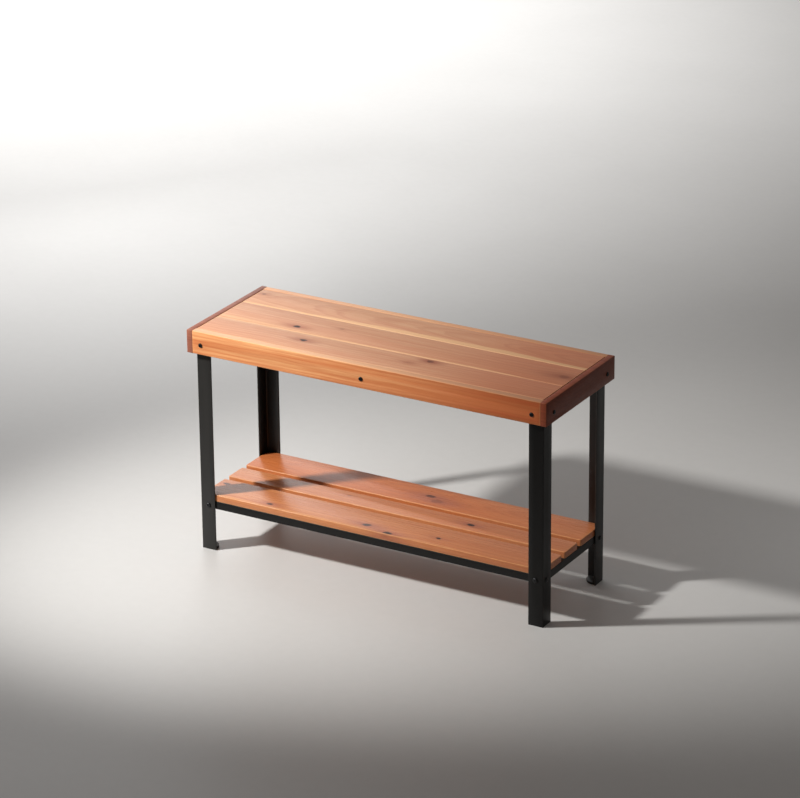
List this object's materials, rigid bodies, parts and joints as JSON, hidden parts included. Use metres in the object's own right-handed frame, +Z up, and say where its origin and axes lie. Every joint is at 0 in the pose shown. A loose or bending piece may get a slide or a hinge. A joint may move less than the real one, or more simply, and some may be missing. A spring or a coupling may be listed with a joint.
{
  "type": "entryway bench",
  "caption": "Low wooden bench with a board-framed plank seat on black steel angle legs and a slatted shoe shelf below.",
  "frame": {"origin": "on the floor, midway between the four legs", "axes": "+X along the bench to the viewer's right, +Y towards its rear, +Z up"},
  "size_m": [0.804, 0.284, 0.472],
  "materials": {
    "cedar_seat": "satin clear oil",
    "cedar_frame": "satin clear oil",
    "cedar_shelf": "satin clear oil",
    "dark_cap": "satin dark stain",
    "batten_pine": "sawn",
    "black_steel": "satin black paint",
    "black_fastener": "black oxide",
    "zinc_nut": "zinc plated"
  },
  "bodies": {
    "root": {"front_apron": "cedar_frame", "front_apron_bolts": "black_fastener", "front_apron_screw": "black_fastener", "front_apron_nuts": "zinc_nut", "rear_apron": "cedar_frame", "rear_apron_bolts": "black_fastener", "rear_apron_screw": "black_fastener", "rear_apron_nuts": "zinc_nut", "left_end_cap": "dark_cap", "left_end_batten": "batten_pine", "left_cap_bolts": "black_fastener", "left_cap_nuts": "zinc_nut", "left_cap_screws": "zinc_nut", "left_plank_screws": "zinc_nut", "right_end_cap": "dark_cap", "right_end_batten": "batten_pine", "right_cap_bolts": "black_fastener", "right_cap_nuts": "zinc_nut", "right_cap_screws": "zinc_nut", "right_plank_screws": "zinc_nut", "centre_batten": "batten_pine", "centre_plank_screws": "zinc_nut", "seat_plank_front": "cedar_seat", "shelf_slat_front": "cedar_shelf", "seat_plank_middle": "cedar_seat", "shelf_slat_middle": "cedar_shelf", "seat_plank_rear": "cedar_seat", "shelf_slat_rear": "cedar_shelf", "front_left_leg": "black_steel", "front_left_foot_plate": "black_steel", "front_right_leg": "black_steel", "front_right_foot_plate": "black_steel", "rear_left_leg": "black_steel", "rear_left_foot_plate": "black_steel", "rear_right_leg": "black_steel", "rear_right_foot_plate": "black_steel", "shelf_rail_front": "black_steel", "shelf_rail_rear": "black_steel", "shelf_rail_left": "black_steel", "shelf_rail_right": "black_steel", "rail_bolts": "black_fastener", "rail_nuts": "zinc_nut", "slat_screws": "zinc_nut"}
  },
  "joints": []
}
